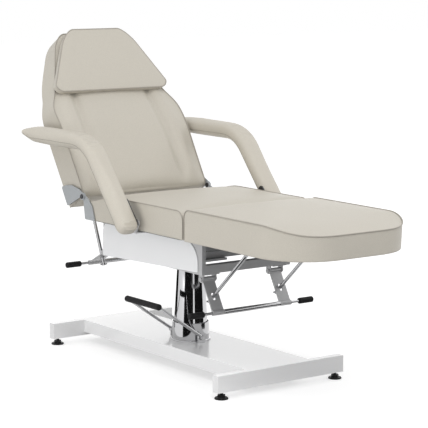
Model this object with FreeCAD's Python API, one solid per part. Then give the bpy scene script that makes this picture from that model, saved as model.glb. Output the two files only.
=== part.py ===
import FreeCAD, Part
import math
import os
from FreeCAD import Vector

os.makedirs("parts", exist_ok=True)

# Frame: +X towards the foot end, +Y to the sitter's left, +Z up. Everything is drawn from a point on the
# floor under the column and moved at the end, so that the origin is under the middle of the whole bed.

# H-shaped base
base_length = 1087.0
cross_tube_length = 560.0
cross_tube_width = 30.0
cross_tube_height = 60.0
cross_tube_wall = 2.0
base_box_width = 280.0
base_box_height = 48.0
base_box_wall = 3.0

# levelling feet
foot_gap = 24.0
foot_inset = 26.0
foot_disc_radius = 24.0
foot_disc_height = 6.0
foot_hex_radius = 13.5
foot_hex_height = 10.0
foot_stem_radius = 5.0
foot_stem_length = 38.0
foot_nut_radius = 9.0
foot_nut_height = 14.0

# hydraulic column
lower_sleeve_radius = 68.5
lower_sleeve_height = 68.0
sleeve_wall = 2.5
base_ring_width = 6.0
base_ring_height = 6.0
upper_sleeve_bottom_radius = 65.2
upper_sleeve_top_radius = 50.6
upper_sleeve_overlap = 56.0
cylinder_radius = 42.0
cylinder_wall = 8.0
cylinder_height = 280.0
cylinder_flange_radius = 56.0
cylinder_flange_height = 10.0
gland_height = 12.0
ram_radius = 22.0
piston_height = 15.0
piston_rest_height = 20.0
column_plate_length = 180.0
column_plate_width = 200.0
column_plate_thickness = 8.0

# foot pedal
pedal_half_width = 97.0
pedal_reach = 200.0
pedal_rise = 137.0
pedal_pivot_back = 15.0
pedal_pivot_height = 22.0
pedal_bar_radius = 6.0
pedal_bend_radius = 15.0
pedal_eye_radius = 11.0
pedal_eye_width = 13.0
pedal_grip_radius = 11.5
pedal_grip_overhang = 12.0
pedal_lug_thickness = 8.0
pedal_lug_half_width = 14.0
pedal_pin_radius = 5.0

# seat frame
frame_bottom = 392.0
frame_height = 128.0
frame_front = 338.0
frame_rear = -288.0
frame_half_width = 197.0
frame_sheet = 3.0
frame_flange = 16.0
rail_size = 30.0
rail_wall = 2.0
cross_member_size = 25.0
cross_member_offset = 62.0
cover_thickness = 3.0
cover_front = 315.0
cover_bottom_rear = 378.0
cover_bottom_front = 400.0
cover_top = 508.0
cover_front_radius = 80.0
cover_rear_radius = 45.0
cover_low_radius = 8.0

# upholstery
board_thickness = 16.0
board_inset = 16.0
board_proud = 4.0
cushion_half_width = 284.0
seat_rear = -279.0
seat_front = 338.0
seat_seam_height = 101.0
seat_crown = 20.0
seat_rear_drop = 14.0
cushion_draw = 4.0
seat_corner_radius = 24.0
leg_gap = 6.0
leg_length = 616.0
leg_corner_radius = 130.0
leg_seam_rear = 108.0
leg_seam_front = 80.0
leg_crown = 16.0
leg_nose_undercut = 30.0

# backrest, drawn flat behind the seat and then raised about the hinge line
hinge_x = -285.0
hinge_z = 608.0
recline_from_flat = 59.0
back_start = 4.0
back_shoulder = 380.0
back_length = 698.0
back_top_half_width = 152.0
back_shoulder_radius = 110.0
back_top_radius = 60.0
back_depth = 112.0
back_top_recede = 40.0
back_crown = 20.0
crease_half_spacing_low = 190.0
crease_half_spacing_high = 165.0
crease_end = 398.0
crease_radius = 16.0
crease_depth = 6.0
pillow_start = 428.0
pillow_end = 690.0
pillow_low_half_width = 250.0
pillow_high_half_width = 132.0
pillow_low_radius = 26.0
pillow_high_radius = 46.0
pillow_thickness = 42.0
soft_gap = 0.3

# backrest hinge plates
hinge_plate_thickness = 4.0
hinge_plate_gap = 0.5
hinge_plate_reach = 92.0
hinge_boss_radius = 14.0
hinge_pin_radius = 5.0
hinge_head_radius = 9.0
hinge_head_height = 4.0
hinge_relief = 3.0
plate_corner_radius = 6.0

# leg rest hinge
leg_hinge_x = 341.0
leg_hinge_drop = 7.0
leg_leaf_length = 45.0
leg_leaf_width = 80.0
leg_leaf_thickness = 3.0
leg_leaf_inset = 21.0
knuckle_radius = 6.0
knuckle_pin_radius = 3.0
knuckle_gap = 0.4

# adjusting rods and their canting locks
rod_radius = 6.5
lock_bracket_inset = 1.7
rod_tail = 35.0
rod_stop_inset = 5.0
rod_stop_radius = 3.0
rod_stop_length = 28.0
rod_eye_radius = 10.0
rod_eye_width = 18.0
rod_pin_radius = 4.0
rod_ear_thickness = 4.0
rod_ear_half_width = 12.0
rod_bracket_base = 4.0
rod_bracket_half_length = 30.0
back_rod_stand_off = 21.0
leg_rod_stand_off = 25.0
lock_plate_width = 50.0
lock_plate_thickness = 5.0
lock_slot_half_length = 14.0
lock_slot_half_width = 7.5
lock_barrel_radius = 9.0
lock_pin_radius = 5.0
lock_pin_head_radius = 8.0
lock_pin_head_height = 5.0
clevis_ear_thickness = 4.0
clevis_ear_radius = 12.0
clevis_base = 4.0
back_lock_pivot = (-316.0, 384.0)
back_lock_bar = (-424.0, 327.0)
back_lock_hole = 60.0
leg_lock_pivot = (308.0, 372.0)
leg_lock_bar = (370.0, 261.0)
leg_lock_hole = 67.0
release_tube_radius = 9.0
release_rod_radius = 5.0
release_half_length = 277.0
release_grip_length = 65.0
release_grip_radius = 11.0
grip_wall_end = 6.0

# armrests
arm_pivot_x = 82.0
arm_pivot_z = 554.0
arm_lean = 40.0
arm_top_z = 825.0
arm_tip_x = -556.0
arm_bend_radius = 105.0
arm_pad_half_height = 25.0
arm_pad_width = 66.0
arm_pad_edge = 15.0
arm_pad_start = 309.0
arm_bar_thickness = 5.0
arm_bar_half_height = 14.0
arm_bar_length = 100.0
arm_bar_forward = 3.0
arm_pin_radius = 5.0
arm_collar_radius = 9.0
arm_ear_thickness = 4.0
arm_ear_half_width = 13.0
arm_ear_start = 293.0
arm_ear_set_back = 8.0
arm_foot_depth = 45.0

# fits
running_fit = 0.05
free_fit = 0.1
side_play = 0.3

# heights and places that follow from the sizes above
base_top = foot_gap + cross_tube_height
base_box_bottom = base_top - base_box_height
tube_centre_x = base_length / 2 - cross_tube_width / 2
box_half_length = base_length / 2 - cross_tube_width
column_plate_bottom = frame_bottom - column_plate_thickness
frame_top = frame_bottom + frame_height
cushion_bottom = frame_top + board_proud
board_top = frame_top + board_thickness
rail_bottom = frame_bottom + frame_sheet
rail_half_length = frame_half_width - frame_flange
leg_rear = seat_front + leg_gap
leg_front = leg_rear + leg_length
leg_hinge_z = frame_top - leg_hinge_drop
lock_bracket_half_width = lock_plate_width / 2 + side_play + clevis_ear_thickness
rod_y = rail_half_length - lock_bracket_inset - lock_bracket_half_width
hinge_plate_start = cushion_half_width + soft_gap
back_half_width = hinge_plate_start + hinge_plate_thickness + hinge_plate_gap - soft_gap
pedal_pivot_z = base_top + pedal_pivot_height
hinge_line = Vector(hinge_x, 0, hinge_z)


finished = {}


def save(name, shape):
    finished[name] = shape


def box(x0, x1, y0, y1, z0, z1):
    return Part.makeBox(x1 - x0, y1 - y0, z1 - z0, Vector(x0, y0, z0))


def rod_between(start, end, radius):
    along = end - start
    return Part.makeCylinder(radius, along.Length, start, along)


def pin_y(x, z, y0, y1, radius):
    return Part.makeCylinder(radius, y1 - y0, Vector(x, y0, z), Vector(0, 1, 0))


def fused(shapes):
    return shapes[0].multiFuse(shapes[1:]).removeSplitter()


def mirrored(shape):
    return shape.mirror(Vector(0, 0, 0), Vector(0, 1, 0))


def both_sides(shape):
    return Part.makeCompound([shape, mirrored(shape)])


def rounded_wire(corners, radii):
    """Closed wire through the corners, with an arc of the given radius at each."""
    edges = []
    count = len(corners)
    starts = []
    for i in range(count):
        here = corners[i]
        back = (corners[i - 1] - here).normalize()
        ahead = (corners[(i + 1) % count] - here).normalize()
        half_angle = back.getAngle(ahead) / 2
        reach = radii[i] / math.tan(half_angle)
        bisector = (back + ahead).normalize()
        sagitta = radii[i] / math.sin(half_angle) - radii[i]
        starts.append((here + back * reach, here + bisector * sagitta, here + ahead * reach))
    for i in range(count):
        arc_in, arc_mid, arc_out = starts[i]
        edges.append(Part.Arc(arc_in, arc_mid, arc_out).toShape())
        edges.append(Part.LineSegment(arc_out, starts[(i + 1) % count][0]).toShape())
    return Part.Wire(edges)


def plate_xz(corners, radii, y0, y1):
    """Flat plate across Y from an outline of x, z corners."""
    wire = rounded_wire([Vector(x, y0, z) for x, z in corners], radii)
    return Part.Face(wire).extrude(Vector(0, y1 - y0, 0))


def soft_loft(outline, levels):
    """Closed cushion through inset copies of one outline; a level is an inset and a height rule."""
    wires = []
    for inset, height in levels:
        corners, radii = outline(inset)
        wires.append(rounded_wire([Vector(x, y, height(x)) for x, y in corners], radii))
    return Part.makeLoft(wires, True, True)


def level_at(z):
    return lambda x: z


def symmetric(half):
    """Outline of x, y corners with radii, completed by its mirror image across the X axis."""
    corners = [(x, -y) for x, y, r in half] + [(x, y) for x, y, r in reversed(half)]
    radii = [r for x, y, r in half] + [r for x, y, r in reversed(half)]
    return corners, radii


def raise_back(shape):
    """Turns a shape drawn with the back flat up to the photographed recline."""
    turned = shape.copy()
    turned.rotate(hinge_line, Vector(0, 1, 0), recline_from_flat)
    return turned


# H-shaped base and levelling feet
def cross_tube(centre_x):
    half = cross_tube_length / 2
    x0 = centre_x - cross_tube_width / 2
    x1 = centre_x + cross_tube_width / 2
    outer = box(x0, x1, -half, half, foot_gap, base_top)
    wall = cross_tube_wall
    hollow = box(x0 + wall, x1 - wall, -half + wall, half - wall, foot_gap + wall, base_top - wall)
    tube = outer.cut(hollow)
    for side in (-1, 1):
        foot_place = Vector(centre_x, side * (half - foot_inset), foot_gap)
        nut = Part.makeCylinder(foot_nut_radius, foot_nut_height, foot_place)
        bore = Part.makeCylinder(foot_stem_radius + running_fit, foot_nut_height, foot_place)
        tube = tube.fuse(nut).cut(bore)
    return tube.removeSplitter()


def base_box():
    half = base_box_width / 2
    wall = base_box_wall
    outer = box(-box_half_length, box_half_length, -half, half, base_box_bottom, base_top)
    inner = box(-box_half_length + wall, box_half_length - wall, -half + wall, half - wall,
                base_box_bottom, base_top - wall)
    return outer.cut(inner)


def levelling_foot(x, y):
    disc = Part.makeCylinder(foot_disc_radius, foot_disc_height, Vector(x, y, 0))
    rim = [e for e in disc.Edges if isinstance(e.Curve, Part.Circle) and e.CenterOfMass.z > foot_disc_height / 2]
    disc = disc.makeChamfer(foot_disc_height / 3, rim)
    hex_points = []
    for i in range(7):
        angle = math.radians(60 * i)
        hex_points.append(Vector(x + foot_hex_radius * math.cos(angle), y + foot_hex_radius * math.sin(angle),
                                 foot_disc_height))
    hexagon = Part.Face(Part.makePolygon(hex_points)).extrude(Vector(0, 0, foot_hex_height))
    stem = Part.makeCylinder(foot_stem_radius, foot_stem_length, Vector(x, y, foot_disc_height))
    return fused([disc, hexagon, stem])


save("base_box", base_box())
save("front_cross_tube", cross_tube(tube_centre_x))
save("rear_cross_tube", cross_tube(-tube_centre_x))
foot_y = cross_tube_length / 2 - foot_inset
for end_name, foot_x in (("front", tube_centre_x), ("rear", -tube_centre_x)):
    for side_name, side in (("right", -1), ("left", 1)):
        save("foot_%s_%s" % (end_name, side_name), levelling_foot(foot_x, side * foot_y))


# Hydraulic column
def ring(outer, inner, z0, z1):
    height = z1 - z0
    return Part.makeCylinder(outer, height, Vector(0, 0, z0)).cut(
        Part.makeCylinder(inner, height, Vector(0, 0, z0)))


def pump_cylinder():
    top = base_top + cylinder_height
    flange = Part.makeCylinder(cylinder_flange_radius, cylinder_flange_height, Vector(0, 0, base_top))
    body = Part.makeCylinder(cylinder_radius, cylinder_height, Vector(0, 0, base_top))
    bore_height = cylinder_height - cylinder_flange_height - gland_height
    bore = Part.makeCylinder(cylinder_radius - cylinder_wall, bore_height,
                             Vector(0, 0, base_top + cylinder_flange_height))
    gland = Part.makeCylinder(ram_radius + running_fit, gland_height, Vector(0, 0, top - gland_height))
    return flange.fuse(body).cut(bore).cut(gland).removeSplitter()


def lift_ram():
    bottom = base_top + cylinder_flange_height + piston_rest_height
    stem = Part.makeCylinder(ram_radius, column_plate_bottom - bottom, Vector(0, 0, bottom))
    piston = Part.makeCylinder(cylinder_radius - cylinder_wall - free_fit, piston_height, Vector(0, 0, bottom))
    return fused([stem, piston])


def upper_sleeve():
    bottom = base_top + lower_sleeve_height - upper_sleeve_overlap
    height = column_plate_bottom - bottom
    outer = Part.makeCone(upper_sleeve_bottom_radius, upper_sleeve_top_radius, height, Vector(0, 0, bottom))
    inner = Part.makeCone(upper_sleeve_bottom_radius - sleeve_wall, upper_sleeve_top_radius - sleeve_wall,
                          height, Vector(0, 0, bottom))
    return outer.cut(inner)


def base_ring():
    inner = lower_sleeve_radius + free_fit
    hoop = ring(inner + base_ring_width, inner, base_top, base_top + base_ring_height)
    rim = [e for e in hoop.Edges if isinstance(e.Curve, Part.Circle) and e.Curve.Radius > inner + base_ring_width / 2
           and e.CenterOfMass.z > base_top + base_ring_height / 2]
    return hoop.makeFillet(base_ring_height * 0.6, rim)


save("pump_cylinder", pump_cylinder())
save("lower_sleeve", ring(lower_sleeve_radius, lower_sleeve_radius - sleeve_wall,
                          base_top, base_top + lower_sleeve_height))
save("base_ring", base_ring())
save("lift_ram", lift_ram())
save("upper_sleeve", upper_sleeve())
save("column_plate", box(-column_plate_length / 2, column_plate_length / 2, -column_plate_width / 2,
                         column_plate_width / 2, column_plate_bottom, frame_bottom))


# Foot pedal: a bent bar on two pins beside the column
def pedal_bar(radius):
    """Bent round bar of the pedal, closed at its ends."""
    far = Vector(pedal_half_width, -pedal_pivot_back, pedal_pivot_z)
    reach = Vector(0, -pedal_reach, pedal_rise)
    along = Vector(reach).normalize()
    across = Vector(-1, 0, 0)
    corner_a = far + reach
    corner_b = corner_a + across * (2 * pedal_half_width)
    near = corner_b - reach
    r = pedal_bend_radius
    mid_a = corner_a + (across - along) * (r * (1 - math.sqrt(0.5)))
    mid_b = corner_b - (across + along) * (r * (1 - math.sqrt(0.5)))
    arc_a = Part.Arc(corner_a - along * r, mid_a, corner_a + across * r).toShape()
    arc_b = Part.Arc(corner_b - across * r, mid_b, corner_b - along * r).toShape()
    path = Part.Wire([Part.LineSegment(far, corner_a - along * r).toShape(), arc_a,
                      Part.LineSegment(corner_a + across * r, corner_b - across * r).toShape(), arc_b,
                      Part.LineSegment(corner_b - along * r, near).toShape()])
    section = Part.Wire([Part.makeCircle(radius, far, along)])
    return path.makePipeShell([section], True, False)


def pedal_loop():
    loop = pedal_bar(pedal_bar_radius)
    ends = [Vector(side * pedal_half_width, -pedal_pivot_back, pedal_pivot_z) for side in (-1, 1)]
    for end in ends:
        eye_start = end - Vector(pedal_eye_width / 2, 0, 0)
        loop = loop.fuse(Part.makeCylinder(pedal_eye_radius, pedal_eye_width, eye_start, Vector(1, 0, 0)))
    for end in ends:
        bore_start = end - Vector(pedal_eye_width, 0, 0)
        loop = loop.cut(Part.makeCylinder(pedal_pin_radius + running_fit, 2 * pedal_eye_width, bore_start,
                                          Vector(1, 0, 0)))
    return loop.removeSplitter()


def pedal_grip():
    """Rubber sleeve moulded over the cross bar and its two bends."""
    centre = Vector(0, -pedal_pivot_back - pedal_reach, pedal_pivot_z + pedal_rise)
    half = pedal_half_width + pedal_grip_overhang
    sleeve = Part.makeCylinder(pedal_grip_radius, 2 * half, centre - Vector(half, 0, 0), Vector(1, 0, 0))
    ends = [e for e in sleeve.Edges if isinstance(e.Curve, Part.Circle)]
    sleeve = sleeve.makeFillet(pedal_grip_radius * 0.7, ends)
    return sleeve.cut(pedal_bar(pedal_bar_radius + free_fit))


def pedal_lug(side):
    inner = pedal_half_width - pedal_eye_width / 2 - side_play - pedal_lug_thickness
    outer = inner + pedal_lug_thickness
    pivot = Vector(inner, -pedal_pivot_back, pedal_pivot_z)
    foot = box(inner, outer, -pedal_pivot_back - pedal_lug_half_width, -pedal_pivot_back + pedal_lug_half_width,
               base_top, pedal_pivot_z)
    crown = Part.makeCylinder(pedal_lug_half_width, pedal_lug_thickness, pivot, Vector(1, 0, 0))
    pin = Part.makeCylinder(pedal_pin_radius, pedal_lug_thickness + side_play + pedal_eye_width, pivot, Vector(1, 0, 0))
    lug = fused([foot, crown, pin])
    if side < 0:
        lug = lug.mirror(Vector(0, 0, 0), Vector(1, 0, 0))
    return lug


save("pedal_loop", pedal_loop())
save("pedal_grip", pedal_grip())
save("pedal_lugs", Part.makeCompound([pedal_lug(-1), pedal_lug(1)]))


# Seat frame: two folded side plates, cross rails and white covers
def side_plate():
    y1 = frame_half_width
    y0 = y1 - frame_flange
    s = frame_sheet
    blank = box(frame_rear, frame_front, y0, y1, frame_bottom, frame_top)
    return blank.cut(box(frame_rear + s, frame_front - s, y0, y1 - s, frame_bottom + s, frame_top - s))


def cross_rail(x0, x1, z0, z1):
    outer = box(x0, x1, -rail_half_length, rail_half_length, z0, z1)
    w = rail_wall
    return outer.cut(box(x0 + w, x1 - w, -rail_half_length, rail_half_length, z0 + w, z1 - w))


def side_cover():
    corners = [(frame_rear, cover_bottom_rear), (cover_front, cover_bottom_front),
               (cover_front, cover_top), (frame_rear, cover_top)]
    radii = [cover_low_radius, cover_low_radius, cover_front_radius, cover_rear_radius]
    return plate_xz(corners, radii, frame_half_width, frame_half_width + cover_thickness)


save("frame_side_left", side_plate())
save("frame_side_right", mirrored(side_plate()))
save("frame_front_rail", cross_rail(frame_front - rail_size, frame_front, rail_bottom, rail_bottom + rail_size))
save("frame_rear_rail", cross_rail(frame_rear, frame_rear + rail_size, rail_bottom, rail_bottom + rail_size))
for member_name, member_x in (("front", cross_member_offset), ("rear", -cross_member_offset)):
    half = cross_member_size / 2
    save("column_beam_%s" % member_name,
         cross_rail(member_x - half, member_x + half, frame_bottom, frame_bottom + cross_member_size))
save("side_cover_left", side_cover())
save("side_cover_right", mirrored(side_cover()))


# Seat and leg rest upholstery
def seat_outline(inset):
    y = cushion_half_width - inset
    r = seat_corner_radius
    return symmetric([(seat_rear + inset, y, r), (seat_front - inset, y, r)])


def board_in(outline, z0):
    corners, radii = outline(board_inset)
    wire = rounded_wire([Vector(x, y, z0) for x, y in corners], radii)
    return Part.Face(wire).extrude(Vector(0, 0, board_thickness))


def leg_outline(inset):
    y = cushion_half_width - inset
    return symmetric([(leg_rear + inset, y, seat_corner_radius), (leg_front - inset, y, leg_corner_radius)])


def leg_bottom_outline(inset):
    y = cushion_half_width - inset
    nose = leg_front - leg_nose_undercut - inset
    return symmetric([(leg_rear + inset, y, seat_corner_radius), (nose, y, leg_corner_radius)])


def leg_height(rise):
    def height(x):
        share = (x - leg_rear) / leg_length
        return cushion_bottom + leg_seam_rear + (leg_seam_front - leg_seam_rear) * share + rise
    return height


def seat_height(rise):
    """Height rule for the top of the seat, which falls a little towards the back."""
    def height(x):
        share = (seat_front - x) / (seat_front - seat_rear)
        return cushion_bottom + seat_seam_height - seat_rear_drop * share + rise
    return height


def seat_cushion():
    solid = soft_loft(seat_outline, [
        (cushion_draw, level_at(cushion_bottom)),
        (0, level_at(cushion_bottom + seat_seam_height * 0.4)),
        (cushion_draw, seat_height(0)),
        (cushion_draw * 5, seat_height(seat_crown * 0.6)),
        (cushion_draw * 15, seat_height(seat_crown)),
    ])
    return solid.cut(board_in(seat_outline, frame_top))


def leg_cushion():
    wires = []
    for outline, inset, height in [
            (leg_bottom_outline, cushion_draw, level_at(cushion_bottom)),
            (leg_outline, cushion_draw, leg_height(0)),
            (leg_outline, cushion_draw * 5, leg_height(leg_crown * 0.6)),
            (leg_outline, cushion_draw * 15, leg_height(leg_crown))]:
        corners, radii = outline(inset)
        wires.append(rounded_wire([Vector(x, y, height(x)) for x, y in corners], radii))
    return Part.makeLoft(wires, True, True).cut(board_in(leg_bottom_outline, frame_top))


save("seat_board", board_in(seat_outline, frame_top))
save("seat_cushion", seat_cushion())
save("leg_board", board_in(leg_bottom_outline, frame_top))
save("leg_cushion", leg_cushion())


# Backrest and head pillow, drawn flat: back_at(u, h) is u along the back and h in front of the hinge line
def back_at(u, h, y=0.0):
    return Vector(hinge_x - u, y, hinge_z + h)


def back_height(h, share=1.0):
    """Height rule for a layer of the back; the front leans back towards the top by a share of the full recede."""
    return lambda x: hinge_z + h - share * back_top_recede * (hinge_x - x) / back_length


def back_outline(inset):
    start = hinge_x - back_start - inset
    shoulder = hinge_x - back_shoulder
    top = hinge_x - back_length + inset
    low_radius = seat_corner_radius
    corners, radii = symmetric([(start, back_half_width - inset, low_radius),
                                (shoulder, back_half_width - inset, back_shoulder_radius),
                                (top, back_top_half_width - inset / 2, back_top_radius)])
    return corners, radii


def pillow_outline(inset):
    return symmetric([(hinge_x - pillow_start - inset, pillow_low_half_width - inset, pillow_low_radius),
                      (hinge_x - pillow_end + inset, pillow_high_half_width - inset / 2, pillow_high_radius)])


def back_cushion():
    solid = soft_loft(back_outline, [
        (cushion_draw, level_at(hinge_z - back_depth)),
        (0, back_height(-back_depth * 0.5, 0.5)),
        (cushion_draw, back_height(0)),
        (cushion_draw * 5, back_height(back_crown * 0.6)),
        (cushion_draw * 12, back_height(back_crown)),
    ])
    solid = solid.cut(board_in(back_outline, hinge_z - back_depth - board_proud))
    lift = back_crown + crease_radius - crease_depth
    for side in (-1, 1):
        low = back_at(-back_start, lift, side * crease_half_spacing_low)
        high = back_at(crease_end, lift - back_top_recede * crease_end / back_length, side * crease_half_spacing_high)
        solid = solid.cut(rod_between(low, high, crease_radius))
        relief = hinge_boss_radius + hinge_relief
        y0, y1 = sorted((side * (hinge_plate_start - hinge_relief), side * (back_half_width + hinge_relief)))
        solid = solid.cut(pin_y(hinge_x, hinge_z, y0, y1, relief))
    return raise_back(solid)


def head_pillow():
    start = back_crown + soft_gap
    solid = soft_loft(pillow_outline, [
        (cushion_draw * 2, back_height(start)),
        (0, back_height(start + pillow_thickness * 0.35)),
        (cushion_draw * 2, back_height(start + pillow_thickness * 0.7)),
        (cushion_draw * 7, back_height(start + pillow_thickness)),
    ])
    return raise_back(solid)


save("back_board", raise_back(board_in(back_outline, hinge_z - back_depth - board_proud)))
save("back_cushion", back_cushion())
save("head_pillow", head_pillow())


# Backrest hinge: a quadrant plate on each side of the seat and of the back, with a shoulder bolt
def hinge_plate(rim, y0, bore):
    """Quadrant with a round eye on the hinge line; rim lists the far corners as x, z from that line."""
    boss = pin_y(hinge_x, hinge_z, y0, y0 + hinge_plate_thickness, hinge_boss_radius)
    corners = [(hinge_x + dx, hinge_z + dz) for dx, dz in rim]
    blade = plate_xz(corners, [plate_corner_radius] * len(corners), y0, y0 + hinge_plate_thickness)
    eye = pin_y(hinge_x, hinge_z, y0, y0 + hinge_plate_thickness, bore)
    return boss.fuse(blade).cut(eye).removeSplitter()


def seat_hinge_plate():
    reach = hinge_plate_reach
    drop = hinge_z - cushion_bottom
    eye = hinge_boss_radius
    rim = [(eye * 0.15, eye * 0.7), (reach * 0.35, -drop * 0.07), (reach * 0.65, -drop * 0.38),
           (reach * 0.78, -drop * 0.78), (reach * 0.84, -drop), (eye * 0.85, -drop), (eye * 0.15, -eye)]
    return hinge_plate(rim, hinge_plate_start, hinge_pin_radius + running_fit)


def back_hinge_plate():
    reach = hinge_plate_reach
    y0 = hinge_plate_start + hinge_plate_thickness + hinge_plate_gap
    depth = back_depth
    eye = hinge_boss_radius
    rim = [(-eye * 0.5, eye * 0.8), (-reach * 0.39, -depth * 0.08), (-reach * 0.72, -depth * 0.39),
           (-reach * 0.9, -depth * 0.7), (-reach, -depth), (-back_start - eye * 0.6, -depth), (-back_start, -eye)]
    return raise_back(hinge_plate(rim, y0, hinge_pin_radius + running_fit))


def hinge_bolt():
    seat_face = hinge_plate_start
    outer_face = seat_face + 2 * hinge_plate_thickness + hinge_plate_gap
    shank = pin_y(hinge_x, hinge_z, seat_face - 1, outer_face + side_play, hinge_pin_radius)
    nut = pin_y(hinge_x, hinge_z, seat_face - 2, seat_face, hinge_head_radius)
    head = pin_y(hinge_x, hinge_z, outer_face + side_play, outer_face + side_play + hinge_head_height, hinge_head_radius)
    crown = [e for e in head.Edges if isinstance(e.Curve, Part.Circle)
             and e.CenterOfMass.y > outer_face + side_play + hinge_head_height / 2]
    return fused([shank, nut, head.makeFillet(hinge_head_height * 0.7, crown)])


for side_name, place in (("left", lambda s: s), ("right", mirrored)):
    save("seat_hinge_plate_%s" % side_name, place(seat_hinge_plate()))
    save("back_hinge_plate_%s" % side_name, place(back_hinge_plate()))
save("back_hinge_bolts", both_sides(hinge_bolt()))


# Leg rest hinge: two butt hinges under the boards
def knuckle(y0, y1):
    return pin_y(leg_hinge_x, leg_hinge_z, y0, y1, knuckle_radius)


def seat_leaf():
    y0 = rail_half_length - leg_leaf_inset - leg_leaf_width
    third = leg_leaf_width / 3
    clear = knuckle_radius + 2 * knuckle_gap
    leaf_z = frame_top - leg_leaf_thickness
    pieces = [box(leg_hinge_x - leg_leaf_length, leg_hinge_x - clear, y0, y0 + leg_leaf_width, leaf_z, frame_top),
              pin_y(leg_hinge_x, leg_hinge_z, y0, y0 + leg_leaf_width, knuckle_pin_radius)]
    for start in (y0, y0 + 2 * third):
        pieces.append(box(leg_hinge_x - clear, leg_hinge_x, start, start + third, leaf_z, frame_top))
        pieces.append(knuckle(start, start + third))
    return fused(pieces)


def leg_leaf():
    y0 = rail_half_length - leg_leaf_inset - leg_leaf_width
    third = leg_leaf_width / 3
    start = y0 + third + knuckle_gap
    end = y0 + 2 * third - knuckle_gap
    clear = knuckle_radius + 2 * knuckle_gap
    leaf_z = frame_top - leg_leaf_thickness
    flap = box(leg_hinge_x + clear, leg_hinge_x + leg_leaf_length, y0, y0 + leg_leaf_width, leaf_z, frame_top)
    neck = box(leg_hinge_x, leg_hinge_x + clear, start, end, leaf_z, frame_top)
    bore = pin_y(leg_hinge_x, leg_hinge_z, start, end, knuckle_pin_radius + running_fit)
    return fused([flap, neck, knuckle(start, end)]).cut(bore)


save("seat_hinge_leaves", both_sides(seat_leaf()))
save("leg_hinge_leaves", both_sides(leg_leaf()))


# Canting locks. A rod turns on the cushion board and slides through a slot in a hanging lock plate. The rod
# pin and the slot lie equally far from the cushion's hinge, so the rod always turns half as far as the cushion.
def lock_frame(pivot, bar):
    """Unit vectors along a lock plate and square to it, and its length."""
    along = Vector(bar[0] - pivot[0], 0, bar[1] - pivot[1])
    length = along.Length
    along.normalize()
    return along, Vector(along.z, 0, -along.x), length


def lock_hole_point(pivot, bar, distance):
    along, square, length = lock_frame(pivot, bar)
    return Vector(pivot[0], 0, pivot[1]) + along * distance


def lock_plate(pivot, bar, hole):
    along, square, length = lock_frame(pivot, bar)
    start = Vector(pivot[0], rod_y - lock_plate_width / 2, pivot[1])
    width = Vector(0, lock_plate_width, 0)
    half = square * (lock_plate_thickness / 2)
    corners = [start - half, start - half + width, start - half + width + along * length,
               start - half + along * length, start - half]
    plate = Part.Face(Part.makePolygon(corners)).extrude(square * lock_plate_thickness)
    shape = plate
    for x, z in (pivot, bar):
        shape = shape.fuse(pin_y(x, z, start.y, start.y + lock_plate_width, lock_barrel_radius))
    shape = shape.cut(pin_y(pivot[0], pivot[1], start.y, start.y + lock_plate_width, lock_pin_radius + running_fit))
    shape = shape.cut(pin_y(bar[0], bar[1], start.y, start.y + lock_plate_width, release_rod_radius + free_fit))
    centre = lock_hole_point(pivot, bar, hole) + Vector(0, rod_y, 0) - square * lock_plate_thickness
    reach = lock_slot_half_length - lock_slot_half_width
    depth = 2 * lock_plate_thickness
    ends = [Part.makeCylinder(lock_slot_half_width, depth, centre + along * s * reach, square) for s in (-1, 1)]
    across = Vector(0, lock_slot_half_width, 0)
    sides = [centre - along * reach - across, centre - along * reach + across, centre + along * reach + across,
             centre + along * reach - across, centre - along * reach - across]
    middle = Part.Face(Part.makePolygon(sides)).extrude(square * depth)
    for tool in ends + [middle]:
        shape = shape.cut(tool)
    return shape.removeSplitter()


def lock_clevis(pivot, foot):
    """Two ears and a bolt that hang a lock plate; foot is the box that meets the frame rail."""
    half = lock_plate_width / 2 + side_play
    x0, x1, z0, z1 = foot
    y_in = rod_y - half - clevis_ear_thickness
    y_out = rod_y + half + clevis_ear_thickness
    pieces = [box(x0, x1, y_in, y_out, z0, z1)]
    for start in (y_in, rod_y + half):
        lug = pin_y(pivot[0], pivot[1], start, start + clevis_ear_thickness, clevis_ear_radius)
        web_corners = [(x0, z0), (x1, z0), (x1, z1), (x0, z1)]
        hull = convex_web(pivot, clevis_ear_radius, web_corners, start)
        pieces.append(lug)
        pieces.append(hull)
    pieces.append(pin_y(pivot[0], pivot[1], y_in, y_out, lock_pin_radius))
    for start in (y_in - lock_pin_head_height, y_out):
        pieces.append(pin_y(pivot[0], pivot[1], start, start + lock_pin_head_height, lock_pin_head_radius))
    return fused(pieces)


def convex_web(pivot, radius, corners, start):
    """Ear sheet from a round eye to the foot box behind it."""
    x0, x1 = corners[0][0], corners[1][0]
    z0, z1 = corners[0][1], corners[2][1]
    if z1 - z0 > x1 - x0:
        outline = [(x1, pivot[1] - radius), (x1, pivot[1] + radius), (pivot[0], pivot[1] + radius),
                   (pivot[0], pivot[1] - radius)]
    else:
        outline = [(pivot[0] - radius, z1), (pivot[0] + radius, z1), (pivot[0] + radius, pivot[1]),
                   (pivot[0] - radius, pivot[1])]
    points = [Vector(x, start, z) for x, z in outline]
    return Part.Face(Part.makePolygon(points + points[:1])).extrude(Vector(0, clevis_ear_thickness, 0))


def release_bar(bar):
    x, z = bar
    middle = rod_y - lock_plate_width / 2 - side_play
    thick = pin_y(x, z, -middle, middle, release_tube_radius)
    inner_grip = release_half_length - grip_wall_end
    thin = pin_y(x, z, -inner_grip, inner_grip, release_rod_radius)
    return fused([thick, thin])


def release_grip(bar):
    x, z = bar
    start = release_half_length - release_grip_length
    grip = pin_y(x, z, start, release_half_length, release_grip_radius)
    rounded = grip.makeFillet(release_grip_radius * 0.45, [e for e in grip.Edges if isinstance(e.Curve, Part.Circle)])
    return rounded.cut(pin_y(x, z, start, release_half_length - grip_wall_end, release_rod_radius + free_fit))


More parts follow.
